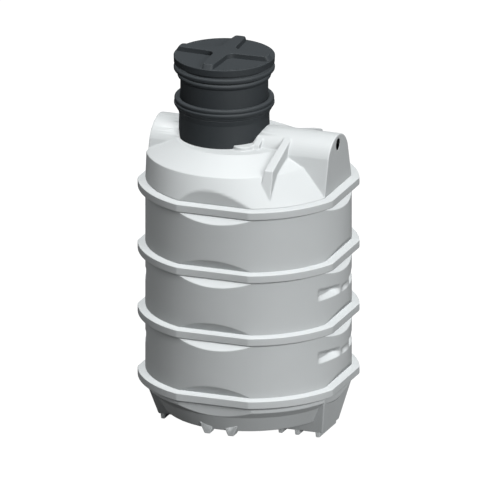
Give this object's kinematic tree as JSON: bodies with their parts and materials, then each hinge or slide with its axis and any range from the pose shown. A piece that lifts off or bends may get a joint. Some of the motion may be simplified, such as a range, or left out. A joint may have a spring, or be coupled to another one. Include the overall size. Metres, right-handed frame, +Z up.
{
  "type": "vertical buried water tank",
  "caption": "Upright ribbed plastic tank for burial, with an offset dark access riser, a ribbed lid, an inlet and an outlet pipe housing, and skid feet.",
  "frame": {"origin": "on the ground under the middle of the body", "axes": "+Z up, +X towards the inlet housing, +Y towards the back"},
  "size_m": [1.514, 1.514, 2.816],
  "materials": {
    "tank_plastic": "light grey rotomoulded polyethylene, satin",
    "riser_plastic": "anthracite polyethylene, satin"
  },
  "bodies": {
    "root": {"dished_bottom": "tank_plastic", "gusset_back": "tank_plastic", "gusset_front": "tank_plastic", "housing_left_end": "tank_plastic", "housing_left_vault": "tank_plastic", "housing_right_end": "tank_plastic", "housing_right_vault": "tank_plastic", "lid": "riser_plastic", "lid_cross": "riser_plastic", "ring_1_back": "tank_plastic", "ring_1_front": "tank_plastic", "ring_2_back": "tank_plastic", "ring_2_front": "tank_plastic", "ring_3_back": "tank_plastic", "ring_3_front": "tank_plastic", "ring_4_back": "tank_plastic", "ring_4_front": "tank_plastic", "riser_lower": "riser_plastic", "riser_socket": "riser_plastic", "riser_upper": "riser_plastic", "short_rib_back": "tank_plastic", "short_rib_front": "tank_plastic", "shoulder_back_left": "tank_plastic", "shoulder_back_right": "tank_plastic", "shoulder_front_left": "tank_plastic", "shoulder_front_right": "tank_plastic", "skid_beam_left": "tank_plastic", "skid_beam_right": "tank_plastic", "skid_block_back": "tank_plastic", "skid_block_front": "tank_plastic", "top_back": "tank_plastic", "top_front": "tank_plastic", "wall_1_back": "tank_plastic", "wall_1_front": "tank_plastic", "wall_1_left": "tank_plastic", "wall_1_right": "tank_plastic", "wall_2_back": "tank_plastic", "wall_2_front": "tank_plastic", "wall_2_left": "tank_plastic", "wall_2_right": "tank_plastic", "wall_3_back": "tank_plastic", "wall_3_front": "tank_plastic", "wall_3_left": "tank_plastic", "wall_3_right": "tank_plastic"}
  },
  "joints": []
}
